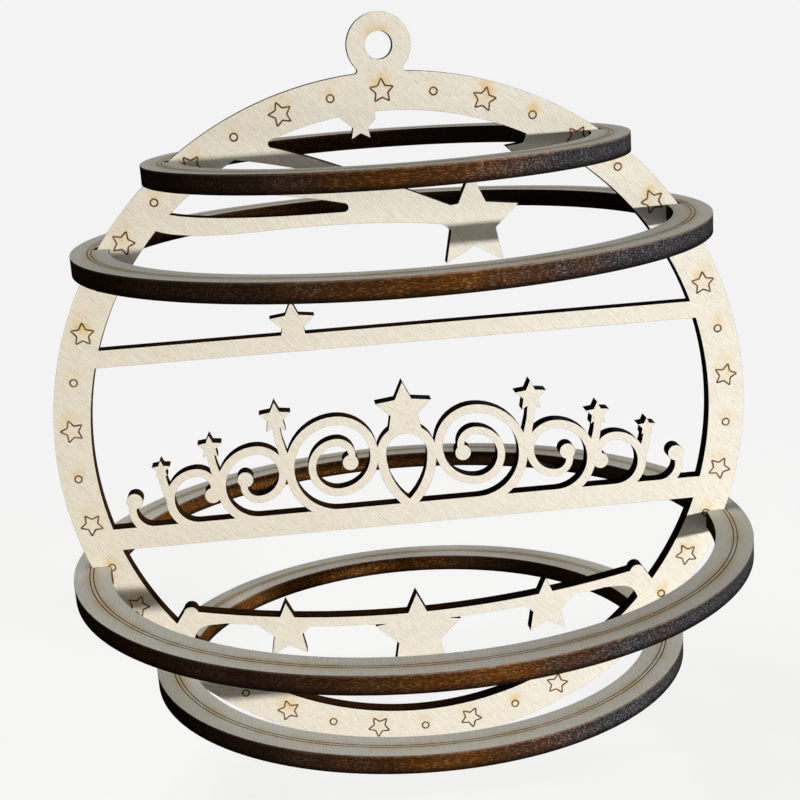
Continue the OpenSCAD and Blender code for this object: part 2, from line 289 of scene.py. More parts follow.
def refine(points, centre, longest):
    """The same outline with its long steps on circles about the centre divided."""
    out = []
    for (u0, v0), (u1, v1) in zip(points, points[1:] + points[:1]):
        out.append((u0, v0))
        r0 = math.hypot(u0 - centre[0], v0 - centre[1])
        r1 = math.hypot(u1 - centre[0], v1 - centre[1])
        length = math.hypot(u1 - u0, v1 - v0)
        if abs(r0 - r1) > SAME_RADIUS or length < longest or r0 < SMALL_RADIUS:
            continue
        middle = math.hypot((u0 + u1) / 2 - centre[0], (v0 + v1) / 2 - centre[1])
        if r0 - middle > LARGEST_SAG:
            continue
        count = math.ceil(length / longest)
        a0 = math.atan2(v0 - centre[1], u0 - centre[0])
        turn = math.atan2(v1 - centre[1], u1 - centre[0]) - a0
        turn = (turn + math.pi) % (2 * math.pi) - math.pi
        for k in range(1, count):
            a = a0 + turn * k / count
            out.append((centre[0] + r0 * math.cos(a), centre[1] + r0 * math.sin(a)))
    return out


def inset(points, distance):
    """The outline moved to its left by a distance, with mitred corners."""
    out = []
    count = len(points)
    for i, (u, v) in enumerate(points):
        u0, v0 = points[i - 1]
        u1, v1 = points[(i + 1) % count]
        before = Vector((u - u0, v - v0)).normalized()
        after = Vector((u1 - u, v1 - v)).normalized()
        n0 = Vector((-before.y, before.x))
        n1 = Vector((-after.y, after.x))
        out.append(tuple(Vector((u, v)) + (n0 + n1) * distance / max(MITRE_LIMIT, 1 + n0.dot(n1))))
    return out


def circle_outline(centre, radius, count):
    """Anticlockwise circle of so many points."""
    return [(centre[0] + radius * math.cos(2 * math.pi * k / count),
             centre[1] + radius * math.sin(2 * math.pi * k / count)) for k in range(count)]


def star_outline(centre, radius, waist, heading):
    """Anticlockwise five-pointed star with slightly rounded corners and one tip at a heading."""
    corners = []
    for k in range(10):
        r = radius * (waist if k % 2 else 1)
        a = heading + k * math.pi / 5
        corners.append(Vector((centre[0] + r * math.cos(a), centre[1] + r * math.sin(a))))
    out = []
    for k, corner in enumerate(corners):
        before, after = corners[k - 1], corners[(k + 1) % 10]
        reach = WAIST_ROUNDING if k % 2 else TIP_ROUNDING
        p = corner.lerp(before, reach)
        q = corner.lerp(after, reach)
        for t in ROUNDING_STEPS:
            out.append(tuple(p * (1 - t) ** 2 + corner * 2 * t * (1 - t) + q * t * t))
    return out


# ---- Sheet pieces ----

# Profile of a burnt line: shares of its width across it, and of its depth
GROOVE = ((-0.5, 0), (-0.25, 1), (0.25, 1), (0.5, 0))
# Edges that turn by more are shaded sharp
SHARP = math.radians(28)


class Sheet:
    """Mesh of a flat plywood piece, built from the outlines of its node's front face.

    axis is its normal, 1 for Y or 2 for Z, side is -1 or 1 towards its front, and centre is the height
    of the middle of its round edges."""

    def __init__(self, node, axis, side, centre, edges):
        low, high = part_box(node)
        self.node = node
        self.axis = axis
        self.side = side
        self.half = (high[axis] - low[axis]) / 2
        self.origin = Vector((0, 0, centre))
        self.origin[axis] = (low[axis] + high[axis]) / 2
        middle = (0, centre) if axis == 1 else (0, 0)
        self.loops = [refine(loop, middle, edges.arc_step) for loop in cap_loops(node, axis, side)]
        self.edge_break = edges.edge_break
        self.bm = bmesh.new()

    def row(self, points, height):
        """Vertices along an outline, at a height over the sheet's mid-plane."""
        out = []
        for u, v in points:
            place = Vector((u, self.side * height, v) if self.axis == 1 else (u, v, self.side * height))
            place[2] -= self.origin[2] if self.axis == 1 else 0
            out.append(self.bm.verts.new(place))
        return out

    def bands(self, rows, material):
        """Quads between rows of the same length."""
        for lower, upper in zip(rows, rows[1:]):
            for i in range(len(lower)):
                j = (i + 1) % len(lower)
                face = self.bm.faces.new((lower[i], lower[j], upper[j], upper[i]))
                face.material_index = material
                face.smooth = True

    def cap(self, rows):
        """Fills the flat area between an outer row and the rows of its holes."""
        edges = []
        for row in rows:
            for i, vert in enumerate(row):
                other = row[(i + 1) % len(row)]
                edges.append(self.bm.edges.get((vert, other)) or self.bm.edges.new((vert, other)))
        made = bmesh.ops.triangle_fill(self.bm, use_beauty=True, use_dissolve=False, edges=edges)
        for item in made["geom"]:
            if isinstance(item, bmesh.types.BMFace):
                item.material_index = VENEER

    def groove(self, outline, width, depth):
        """Sinks a burnt line into the front face and returns its outer and inner rows."""
        rows = [self.row(inset(outline, across * width), self.half - down * depth)
                for across, down in GROOVE]
        self.bands(rows, ENGRAVED)
        return rows[0], rows[-1]

    def edges(self):
        """Makes the cut edges with their burnt chamfers and returns the front and back rows."""
        front, back = [], []
        for loop in self.loops:
            inner = inset(loop, self.edge_break)
            rows = [self.row(inner, -self.half), self.row(loop, self.edge_break - self.half),
                    self.row(loop, self.half - self.edge_break), self.row(inner, self.half)]
            self.bands(rows, CHAR)
            back.append(rows[0])
            front.append(rows[-1])
        return front, back

    def finish(self, materials):
        """Turns the mesh into a piece that stands for its node."""
        bmesh.ops.recalc_face_normals(self.bm, faces=self.bm.faces)
        name = self.node + "_wood"
        mesh = bpy.data.meshes.new(name)
        self.bm.to_mesh(mesh)
        self.bm.free()
        mesh.set_sharp_from_angle(angle=SHARP)
        piece = bpy.data.objects.new(name, mesh)
        piece.location = self.origin
        bpy.context.scene.collection.objects.link(piece)
        for material in materials:
            mesh.materials.append(material)
        bpy.context.view_layer.update()
        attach(piece, "root")
        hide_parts(self.node)


def row_reach(row):
    """Distance from a ring's middle to the farthest vertex of a row."""
    return max(math.hypot(vert.co.x, vert.co.y) for vert in row)


# ---- Shader nodes ----


class Graph:
    """Short calls that add nodes to a tree and link them."""

    def __init__(self, tree):
        self.tree = tree

    def add(self, kind, **settings):
        """A new node with its settings."""
        node = self.tree.nodes.new(kind)
        for name, value in settings.items():
            setattr(node, name, value)
        return node

    def feed(self, socket, value):
        """Links a socket or sets a constant."""
        if isinstance(value, bpy.types.NodeSocket):
            self.tree.links.new(value, socket)
        else:
            socket.default_value = value

    def call(self, kind, inputs, output, **settings):
        """A new node fed by input name or number, and one of its outputs."""
        node = self.add(kind, **settings)
        for name, value in inputs.items():
            self.feed(node.inputs[name], value)
        return node.outputs[output]

    def math(self, operation, a, b=0.0, c=0.0):
        return self.call("ShaderNodeMath", {0: a, 1: b, 2: c}, "Value", operation=operation)

    def dot(self, a, b):
        return self.call("ShaderNodeVectorMath", {0: a, 1: b}, "Value", operation="DOT_PRODUCT")

    def length(self, a):
        return self.call("ShaderNodeVectorMath", {0: a}, "Value", operation="LENGTH")

    def shift(self, a, by):
        return self.call("ShaderNodeVectorMath", {0: a, 1: by}, "Vector", operation="ADD")

    def scale(self, a, factor):
        return self.call("ShaderNodeVectorMath", {0: a, "Scale": factor}, "Vector", operation="SCALE")

    def split(self, vector):
        node = self.add("ShaderNodeSeparateXYZ")
        self.feed(node.inputs[0], vector)
        return node.outputs

    def join(self, x, y, z):
        return self.call("ShaderNodeCombineXYZ", {0: x, 1: y, 2: z}, "Vector")

    def noise(self, vector, scale=1.0, detail=2.0, roughness=0.5):
        return self.call("ShaderNodeTexNoise", {
            "Vector": vector, "Scale": scale, "Detail": detail, "Roughness": roughness}, "Fac")

    def spread(self, value, low, high, to_low=0.0, to_high=1.0):
        """Smooth step from one range to another."""
        return self.call("ShaderNodeMapRange", {
            "Value": value, "From Min": low, "From Max": high, "To Min": to_low, "To Max": to_high},
            "Result", interpolation_type="SMOOTHSTEP")

    def blend(self, factor, a, b):
        """Number between a and b."""
        return self.call("ShaderNodeMix", {0: factor, 2: a, 3: b}, 0, data_type="FLOAT")

    def mix(self, factor, a, b, blend_type="MIX"):
        """Colour between a and b, each a socket or red, green and blue."""
        a, b = (c if isinstance(c, bpy.types.NodeSocket) else (*c, 1.0) for c in (a, b))
        return self.call("ShaderNodeMix", {0: factor, 6: a, 7: b}, 2, data_type="RGBA",
                         blend_type=blend_type)

    def bump(self, height, strength, distance):
        return self.call("ShaderNodeBump", {
            "Height": height, "Strength": strength, "Distance": distance}, "Normal")

    def group(self, tree, **values):
        """A shader node group's outputs, with its inputs given by name."""
        node = self.add("ShaderNodeGroup", node_tree=tree)
        for name, value in values.items():
            self.feed(node.inputs[name.replace("_", " ")], value)
        return node.outputs


def new_group(name, inputs, outputs):
    """An empty shader node group with named sockets: its graph, what it is given and what it puts out."""
    tree = bpy.data.node_groups.new(name, "ShaderNodeTree")
    for title, kind, default in inputs:
        socket = tree.interface.new_socket(name=title, in_out="INPUT", socket_type=kind)
        if default is not None:
            socket.default_value = default
    for title in outputs:
        tree.interface.new_socket(name=title, in_out="OUTPUT", socket_type="NodeSocketFloat")
    graph = Graph(tree)
    return graph, graph.add("NodeGroupInput").outputs, graph.add("NodeGroupOutput").inputs


# Veneer grain: how far its lines bend aside over the sheet, in millimetres, and how far they wander beside
# each other, in spacings
BEND_SCALE, BEND = 0.05, 2.4
WANDER_SCALE, WANDER = 0.45, 2.4
# Each line is darkest along its middle, and is drawn in strokes that fade in and out
LINE_EDGE = (-0.7, 1.0)
STROKE_SCALE, STROKE_SHIFT = 1.7, 7.0
STROKES = (0.25, 0.65, 0.25, 1.0)
# Streaks and pores, along the grain and across it
STREAK_SCALE, STREAKS = (0.3, 0.1), (0.3, 0.7)
PORE_SCALE, PORES = (4.0, 2.0), (0.64, 0.76)


def veneer_grain():
    """Group: fine lines, soft streaks and short pores of a veneer whose grain runs along X."""
    name = "Veneer Grain"
    if name in bpy.data.node_groups:
        return bpy.data.node_groups[name]
    graph, given, out = new_group(
        name,
        (("Position", "NodeSocketVector", None), ("Line Spacing", "NodeSocketFloat", 0.4),
         ("Line Length", "NodeSocketFloat", 7.0)),
        ("Lines", "Streaks", "Pores", "Height"))
    x, y, z = graph.split(given["Position"])
    bend = graph.noise(graph.scale(given["Position"], BEND_SCALE))
    across = graph.math("DIVIDE", graph.math("MULTIPLY_ADD", bend, BEND, y), given["Line Spacing"])
    along = graph.math("DIVIDE", x, given["Line Length"])

    wander = graph.noise(graph.join(along, graph.math("MULTIPLY", across, WANDER_SCALE), z))
    phase = graph.math("MULTIPLY_ADD", wander, WANDER, across)
    comb = graph.math("SINE", graph.math("MULTIPLY", phase, math.tau))
    stroke = graph.noise(graph.join(
        graph.math("MULTIPLY", along, STROKE_SCALE), across, graph.math("ADD", z, STROKE_SHIFT)))
    lines = graph.math("MULTIPLY", graph.spread(comb, *LINE_EDGE), graph.spread(stroke, *STROKES))

    def stretched(scale, **settings):
        """Noise with scales of its own along the grain and across it."""
        return graph.noise(graph.join(graph.math("MULTIPLY", along, scale[0]),
                                      graph.math("MULTIPLY", across, scale[1]), z), **settings)

    pores = graph.spread(stretched(PORE_SCALE, detail=1.0, roughness=0.4), *PORES)
    graph.feed(out["Lines"], lines)
    graph.feed(out["Streaks"], graph.spread(stretched(STREAK_SCALE), *STREAKS))
    graph.feed(out["Pores"], pores)
    graph.feed(out["Height"], graph.math("SUBTRACT", lines, pores))
    return graph.tree


# Cut edge: levels run from -1 at the low face to 1 at the high one, and waver by millimetres
PLY_WAVE_SCALE, PLY_WAVE, PLY_DROP = 0.35, 0.3, 0.15
# The glue lines' level on either side of the middle, how they fade to the sides, and how they sink in
GLUE_LEVEL, GLUE_FADE, GLUE_SINK = 0.5, (0.07, 0.02), -0.4
LOW_RIM = (-0.2, -0.95)
HIGH_RIM = (0.74, 0.96)
# Fibres and pores of the core ply, along the face grain, across it and through the sheet
FLECK_SCALE, FLECKS = (5.5, 1.2, 5.4), (0.48, 0.70)
# The core's grain lies at right angles to the faces', so it shows lengthwise where the edge looks along
# theirs, with an uneven change to where it is cut across
TURN_SCALE, TURN_UNEVEN, TURNED = 0.16, 0.5, (0.62, 0.06)


def ply_edge():
    """Group: cut edge of a three-ply sheet with its face grain along X and its thickness along Z."""
    name = "Ply Edge"
    if name in bpy.data.node_groups:
        return bpy.data.node_groups[name]
    graph, given, out = new_group(
        name,
        (("Position", "NodeSocketVector", None), ("Normal", "NodeSocketVector", None),
         ("Half Thickness", "NodeSocketFloat", 1.5)),
        ("Glue", "Flecks", "Long Grain", "Low Rim", "High Rim", "Height"))
    place = graph.split(given["Position"])
    wave = graph.noise(graph.scale(given["Position"], PLY_WAVE_SCALE))
    height = graph.math("MULTIPLY_ADD", wave, PLY_WAVE, graph.math("SUBTRACT", place[2], PLY_DROP))
    level = graph.math("DIVIDE", height, given["Half Thickness"])
    from_glue = graph.math("SUBTRACT", graph.math("ABSOLUTE", level), GLUE_LEVEL)
    glue = graph.spread(graph.math("ABSOLUTE", from_glue), *GLUE_FADE)
    fleck_place = graph.join(*(graph.math("MULTIPLY", a, b) for a, b in zip(place, FLECK_SCALE)))
    flecks = graph.noise(fleck_place, detail=1.5, roughness=0.6)
    aside = graph.math("ABSOLUTE", graph.split(given["Normal"])[1])
    patch = graph.noise(graph.scale(given["Position"], TURN_SCALE))
    turned = graph.math("ADD", aside, graph.math("MULTIPLY_ADD", patch, TURN_UNEVEN, -TURN_UNEVEN / 2))
    graph.feed(out["Glue"], glue)
    graph.feed(out["Flecks"], graph.spread(flecks, *FLECKS))
    graph.feed(out["Long Grain"], graph.spread(turned, *TURNED))
    graph.feed(out["Low Rim"], graph.spread(level, *LOW_RIM))
    graph.feed(out["High Rim"], graph.spread(level, *HIGH_RIM))
    graph.feed(out["Height"], graph.math("MULTIPLY_ADD", glue, GLUE_SINK, flecks))
    return graph.tree


# ---- Materials ----

# Every veneer: distance between its grain lines in millimetres, how strong lines and pores are, how light a
# pore is, and how much of red, green and blue a warm streak takes
LINE_SPACING = 0.38
LINE_STRENGTH, PORE_STRENGTH, PORE_TONE = 0.7, 0.5, 0.72
WARMING = (0.5, 1.0, 1.6)
# How far the grain moves from one ring to the next, in millimetres
GRAIN_SHIFT = 31.0
# Painted shade: the veneer is made slightly darker and yellower towards the plate's left
LEFT_SHADE_TINT = (0.985, 0.965, 0.92)
# Clouds thin out the singeing and the soot: their make, and their scales on the plate, a ring and an edge
CLOUDY = {"detail": 3.0, "roughness": 0.6}
PLATE_CLOUDS, RING_CLOUDS, EDGE_CLOUDS = 0.55, 0.12, 0.07
# Thin and thick of the clouds, and how strong there a halo is, the hole's singeing and a ring's
HALO_THINNED = (0.35, 0.65, 0.12, 1.0)
SINGE_THINNED = (0.3, 0.65, 0.25, 0.7)
SCORE_THINNED = (0.35, 0.65, 0.15, 0.6)
# Singed halos of a star and of a circle, in millimetres: how high they lie over it and how far they reach
HALO_RISE = (1.4, 0.9)
HALO_REACH = (2.9, 1.8)
# What a halo's height counts for, which makes it tall, and the shares of its reach between which it fades
HALO_UP, HALO_FADE = 0.85, (1.0, 0.1)
# How strong the weakest halo is, and by how much chance adds to it
HALO_LEAST, HALO_CHANCE = 0.35, 0.6
# Singed wood over the hanging hole, by millimetres from its edge and by millimetres over its middle
SINGE_FADE, SINGE_RISE = (1.7, 0.0), (0.6, 2.0)
# Singed band over a ring's score lines, by millimetres from the middle between them
SCORE_FADE, SCORE_SCORCH = (1.9, 0.2), 0.8
# How free of soot and how lit a cut edge is painted, by millimetres to the right of the middle: outer edges
# are painted dark on the left as painted shade, with clouds of soot that shift the change by as much, and
# inner ones are painted dark on the right as painted shade and light on the left as painted light
OUTER_CLEAN_AND_LIT, SOOT_AND_SHADE_CLOUDS = (-25.0, 30.0, 0.2, 1.0), 30.0
INNER_LIT, INNER_LEAST_LIT = (18.0, -6.0), 0.15
# How strong the core's flecks are, and the soot along the lower face and the glue
INNER_FLECKS, OUTER_FLECKS = 0.8, 0.42
RIM_SOOT, GLUE_SOOT = 0.9, 0.3
# Clouds between which the core comes through and flecks between which the tan line, partly a painted
# highlight, does, and the share of each that shows all over
CORE_CLOUDS, CORE_LEAST = (0.3, 0.7), 0.6
TAN_FLECKS, TAN_LEAST = (0.0, 0.6), 0.6
# Burnt lines: scale of their specks, how these stand out, how much lighter they are, and how rough
SPECK_SCALE, SPECKS, SPECK_LIGHT = 1.1, (0.38, 0.62), 3.0
SPECK_ROUGHNESS = (0.3, 0.7, 0.6, 0.8)


def new_material(name):
    """A material, its graph and its shader's inputs."""
    material = bpy.data.materials.new(name)
    material.use_nodes = True
    return material, Graph(material.node_tree), material.node_tree.nodes["Principled BSDF"].inputs


def sheet_frame(graph, output, axes, factor):
    """A texture coordinate in the sheet's own directions, and the same in the piece's."""
    vector = graph.scale(graph.add("ShaderNodeTexCoord").outputs[output], factor)
    return graph.join(*(graph.dot(vector, axis) for axis in axes)), vector


def veneer_colour(graph, grain, base, lines, streaks):
    """Base colour with the grain's darker lines and warmer streaks, each by a share, and its pores."""
    dark = tuple(c * (1 - lines) for c in base)
    warm = tuple(c * (1 - streaks * k) for c, k in zip(base, WARMING))
    colour = graph.mix(grain["Streaks"], base, warm)
    colour = graph.mix(graph.math("MULTIPLY", grain["Lines"], LINE_STRENGTH), colour, dark)
    return graph.mix(graph.math("MULTIPLY", grain["Pores"], PORE_STRENGTH), colour,
                     tuple(c * PORE_TONE for c in base))


def veneer_surface(graph, shader, grain, colour, roughness, depth):
    """Feeds a veneer's shader its colour, and the roughness and relief of its grain."""
    graph.feed(shader["Base Color"], colour)
    graph.feed(shader["Roughness"], graph.spread(grain["Lines"], 0, 1, *roughness))
    graph.feed(shader["Normal"], graph.bump(grain["Height"], strength=0.3, distance=depth))


def mark_halos(graph, x, z, cloud, engraving):
    """Mask of the singed halos over the plate's marks, each as strong as chance has it."""
    pitch = math.pi / engraving.mark_pairs
    index = graph.math("ROUND", graph.math("DIVIDE", graph.math("ARCTAN2", x, z), pitch))
    angle = graph.math("MULTIPLY", index, pitch)
    mark_r = (PLATE_R - engraving.mark_inset) / MM
    dx = graph.math("SUBTRACT", x, graph.math("MULTIPLY", graph.math("SINE", angle), mark_r))
    dz = graph.math("SUBTRACT", z, graph.math("MULTIPLY", graph.math("COSINE", angle), mark_r))
    is_circle = graph.math("PINGPONG", index, 1.0)
    over = graph.math("SUBTRACT", dz, graph.blend(is_circle, *HALO_RISE))
    away = graph.length(graph.join(dx, graph.math("MULTIPLY", over, HALO_UP), 0.0))
    away = graph.math("DIVIDE", away, graph.blend(is_circle, *HALO_REACH))
    halo = graph.math("MULTIPLY", graph.spread(away, *HALO_FADE), graph.spread(cloud, *HALO_THINNED))
    chance = graph.call("ShaderNodeTexWhiteNoise", {"W": index}, "Value", noise_dimensions="1D")
    return graph.math("MULTIPLY", halo, graph.math("MULTIPLY_ADD", chance, HALO_CHANCE, HALO_LEAST))


def hole_singe(graph, x, z, cloud):
    """Mask of the singed wood over the hanging hole."""
    over = graph.math("ADD", z, PLATE_CENTRE.z / MM)
    away = graph.math("SUBTRACT", graph.length(graph.join(x, over, 0.0)), HOLE_R / MM)
    singe = graph.math("MULTIPLY", graph.spread(away, *SINGE_FADE), graph.spread(over, *SINGE_RISE))
    return graph.math("MULTIPLY", singe, graph.spread(cloud, *SINGE_THINNED))


def plate_veneer(colours, engraving):
    """Pale veneer of the face plate, with painted shade that makes it darker and yellower towards its left,
    singed on its front over the burnt marks and the hanging hole.
    """
    material, graph, shader = new_material("plate_veneer")
    sheet, place = sheet_frame(graph, "Object", PLATE_AXES, 1 / MM)
    grain = graph.group(veneer_grain(), Position=sheet, Line_Spacing=LINE_SPACING, Line_Length=2.2)
    colour = veneer_colour(graph, grain, tuple(colours.plate_veneer), lines=0.3, streaks=0.015)
    x, y, z = graph.split(place)
    # Painted shade towards the plate's left
    left_shade = graph.mix(1.0, colour, LEFT_SHADE_TINT, blend_type="MULTIPLY")
    colour = graph.mix(graph.spread(x, PLATE_R / MM, -PLATE_R / MM), colour, left_shade)
    cloud = graph.noise(graph.scale(place, PLATE_CLOUDS), **CLOUDY)
    singed = graph.math("MAXIMUM", mark_halos(graph, x, z, cloud, engraving), hole_singe(graph, x, z, cloud))
    singed = graph.math("MULTIPLY", singed, graph.math("LESS_THAN", y, 0.0))
    colour = graph.mix(singed, colour, tuple(colours.scorch))
    veneer_surface(graph, shader, grain, colour, roughness=(0.55, 0.68), depth=0.04 * MM)
    shader["Specular IOR Level"].default_value = 0.08
    return material


def ring_veneer_and_shade(node, colours, score_r, shift):
    """Pale veneer of a ring, greyer and cooler than the face plate's as painted shade on its flat top, and
    singed a little on top beside its score lines.

    shift moves the grain, so that no two rings are alike."""
    material, graph, shader = new_material(node + "_veneer")
    sheet, place = sheet_frame(graph, "Object", RING_AXES, 1 / MM)
    grain = graph.group(veneer_grain(), Position=graph.shift(sheet, (shift, shift, shift)),
                        Line_Spacing=LINE_SPACING, Line_Length=2.5)
    colour = veneer_colour(graph, grain, tuple(colours.ring_veneer_and_shade), lines=0.26, streaks=0.03)
    x, y, z = graph.split(place)
    away = graph.math("SUBTRACT", graph.length(graph.join(x, y, 0.0)), score_r / MM)
    cloud = graph.noise(graph.scale(place, RING_CLOUDS), **CLOUDY)
    singed = graph.math("MULTIPLY", graph.spread(graph.math("ABSOLUTE", away), *SCORE_FADE),
                        graph.spread(cloud, *SCORE_THINNED))
    singed = graph.math("MULTIPLY", singed, graph.math("GREATER_THAN", z, 0.0))
    colour = graph.mix(singed, colour, tuple(SCORE_SCORCH * c for c in colours.scorch))
    veneer_surface(graph, shader, grain, colour, roughness=(0.58, 0.7), depth=0.05 * MM)
    shader["Specular IOR Level"].default_value = 0.0
    return material


def charred_edge(name, axes, colours, core, inner, rim):
    """Laser-cut edge: soot over the plies, with the core ply's brown or grey where it comes through, and
    painted shade that darkens the outer edges towards the left and the inward-facing ones towards the right.

    core is how much of the core shows, inner how light the edges that face inwards are painted, from painted
    shade to painted light, and rim how strong the tan line is along the upper face, partly a painted
    highlight."""
    material, graph, shader = new_material(name)
    sheet, place = sheet_frame(graph, "Object", axes, 1 / MM)
    normal, _ = sheet_frame(graph, "Normal", axes, 1.0)
    ply = graph.group(ply_edge(), Position=sheet, Normal=normal, Half_Thickness=SHEET_T / 2 / MM)

    x, y, _ = graph.split(place)
    nx, ny, _ = graph.split(graph.add("ShaderNodeTexCoord").outputs["Normal"])
    outward = graph.math("MULTIPLY_ADD", x, nx, graph.math("MULTIPLY", y, ny))
    is_outer = graph.math("GREATER_THAN", outward, 0.0)
    cloud = graph.noise(graph.scale(place, EDGE_CLOUDS), **CLOUDY)
    # Painted shade: outer edges darker towards the left, inward-facing ones darker towards the right with
    # painted light on their left
    outer_clean_and_lit = graph.spread(graph.math("MULTIPLY_ADD", cloud, SOOT_AND_SHADE_CLOUDS, x), *OUTER_CLEAN_AND_LIT)
    inner_lit = graph.spread(x, *INNER_LIT, INNER_LEAST_LIT * inner, inner)
    clean_and_lit = graph.blend(is_outer, inner_lit, outer_clean_and_lit)

    # Painted sheen and glints: grey char with light specks where the core is cut across its grain and the
    # edge is painted lit
    grey_and_sheen = graph.math("MULTIPLY", graph.math("SUBTRACT", 1.0, ply["Long Grain"]), clean_and_lit)
    grey_and_sheen = graph.math("MULTIPLY", grey_and_sheen, is_outer)
    ground = graph.mix(grey_and_sheen, tuple(colours.char_brown), tuple(colours.char_grey))
    fleck_and_glint = graph.mix(grey_and_sheen, tuple(colours.char_amber), tuple(colours.char_glint))
    strength = graph.blend(is_outer, INNER_FLECKS, OUTER_FLECKS)
    ground = graph.mix(graph.math("MULTIPLY", ply["Flecks"], strength), ground, fleck_and_glint)

    dark = tuple(colours.char_dark)
    shows = graph.math("MULTIPLY", graph.spread(cloud, *CORE_CLOUDS, CORE_LEAST * core, core), clean_and_lit)
    colour = graph.mix(shows, dark, ground)
    soot = graph.math("MAXIMUM", graph.math("MULTIPLY", ply["Low Rim"], RIM_SOOT),
                      graph.math("MULTIPLY", ply["Glue"], GLUE_SOOT))
    colour = graph.mix(soot, colour, dark)
    # Tan line along the upper rim: partly singeing, partly painted highlight, strongest where the edge is
    # painted lit
    tan = graph.math("MULTIPLY", ply["High Rim"],
                     graph.spread(ply["Flecks"], *TAN_FLECKS, TAN_LEAST * rim, rim))
    tan = graph.math("MULTIPLY", tan, clean_and_lit)
    graph.feed(shader["Base Color"], graph.mix(tan, colour, tuple(colours.edge_tan_and_highlight)))
    graph.feed(shader["Roughness"], graph.spread(ply["Flecks"], 0, 1, to_low=0.75, to_high=0.55))
    graph.feed(shader["Normal"], graph.bump(ply["Height"], strength=0.5, distance=0.1 * MM))
    shader["Specular IOR Level"].default_value = 0.0
    return material


def burnt_line(colours):
    """Bottom and sides of an engraved line, which all pieces share."""
    name = "burnt_line"
    if name in bpy.data.materials:
        return bpy.data.materials[name]
    material, graph, shader = new_material(name)
    coord = graph.add("ShaderNodeTexCoord").outputs["Object"]
    speck = graph.noise(graph.scale(coord, 1 / MM), scale=SPECK_SCALE, **CLOUDY)
    lighter = tuple(SPECK_LIGHT * c for c in colours.burnt_line)
    graph.feed(shader["Base Color"], graph.mix(
        graph.spread(speck, *SPECKS), tuple(colours.burnt_line), lighter))
    graph.feed(shader["Roughness"], graph.spread(speck, *SPECK_ROUGHNESS))
    graph.feed(shader["Normal"], graph.bump(speck, strength=0.4, distance=0.05 * MM))
    shader["Specular IOR Level"].default_value = 0.1
    return material


# ---- Stage ----

# Distances from the bauble between which the floor turns into the backdrop as it is seen
FLOOR_FADE = (0.11, 0.36)
FLOOR_MOTTLE_SCALE, FLOOR_MOTTLE = 3.0, 0.985
# Squares along each side of the floor
FLOOR_SQUARES = 8
# Softboxes behind and overhead: width, azimuth and elevation in degrees, and distance
BACK_LAMP = (0.8, 165, 3, 1.2)
TOP_LAMP = (0.5, -85, 65, 1.0)
# Camera: sensor width in millimetres, and the nearest distance that it sees in metres
SENSOR = 36
CLIP_START = 0.01


def seen(graph):
    """1 for the rays that show the backdrop and 0 for those that only light."""
    rays = graph.add("ShaderNodeLightPath").outputs
    glossy = graph.math("MAXIMUM", rays["Is Glossy Ray"], rays["Is Transmission Ray"])
    return graph.math("MAXIMUM", rays["Is Camera Ray"], glossy)


def floor_material(stage):
    """Pale floor that shows as the backdrop further off, and doesn't show from below."""
    material, graph, shader = new_material("floor")
    coord = graph.add("ShaderNodeTexCoord").outputs["Object"]
    tone = graph.noise(coord, scale=FLOOR_MOTTLE_SCALE, detail=3.0)
    colour = tuple(stage.floor_colour)
    is_seen = seen(graph)
    far = graph.math("MULTIPLY", is_seen, graph.spread(graph.length(coord), *FLOOR_FADE))
    plain = graph.mix(tone, colour, tuple(FLOOR_MOTTLE * c for c in colour))
    graph.feed(shader["Base Color"], graph.mix(far, plain, (0, 0, 0)))
    glow = graph.mix(far, (stage.floor_glow,) * 3, (stage.backdrop,) * 3)
    graph.feed(shader["Emission Color"], graph.mix(is_seen, (0, 0, 0), glow))
    shader["Emission Strength"].default_value = 1.0
    below = graph.add("ShaderNodeNewGeometry").outputs["Backfacing"]
    graph.feed(shader["Alpha"], graph.math("SUBTRACT", 1.0, below))
    shader["Roughness"].default_value = 0.9
    shader["Specular IOR Level"].default_value = 0.0
    return material


def add_floor(scene, stage):
    """A wide flat floor a little below the bauble."""
    bm = bmesh.new()
    bmesh.ops.create_grid(bm, x_segments=FLOOR_SQUARES, y_segments=FLOOR_SQUARES,
                          size=stage.floor_size / 2)
    mesh = bpy.data.meshes.new("floor")
    bm.to_mesh(mesh)
    bm.free()
    mesh.materials.append(floor_material(stage))
    floor = bpy.data.objects.new("floor", mesh)
    floor.location = (0, 0, cad_box[0][2] - stage.floor_drop)
    scene.collection.objects.link(floor)


def add_softbox(scene, name, power, width, height, azimuth, elevation, distance):
    """A softbox that faces the plate's centre, at an azimuth to the right of the front."""
    light = bpy.data.lights.new(name, "AREA")
    light.shape = "RECTANGLE"
    light.size = width
    light.size_y = height
    light.energy = power
    lamp = bpy.data.objects.new(name, light)
    place = PLATE_CENTRE + distance * Vector((
        math.sin(azimuth) * math.cos(elevation), -math.cos(azimuth) * math.cos(elevation),
        math.sin(elevation)))
    lamp.location = place
    lamp.rotation_euler = (PLATE_CENTRE - place).to_track_quat("-Z", "Y").to_euler()
    scene.collection.objects.link(lamp)
    return lamp


def add_lamps(scene, stage):
    """The main softbox, turned off to the side so that the light falls away, and two fill lights."""
    key = add_softbox(scene, "key", stage.key_power, stage.key_width, stage.key_height,
                      stage.key_azimuth, stage.key_elevation, stage.key_distance)
    key.rotation_euler.rotate_axis("Y", -stage.key_turn)
    key.rotation_euler.rotate_axis("X", -stage.key_tilt)
    for name, power, (width, azimuth, elevation, distance) in (
            ("back", stage.back_power, BACK_LAMP), ("top", stage.top_power, TOP_LAMP)):
        add_softbox(scene, name, power, width, width, math.radians(azimuth), math.radians(elevation),
                    distance)


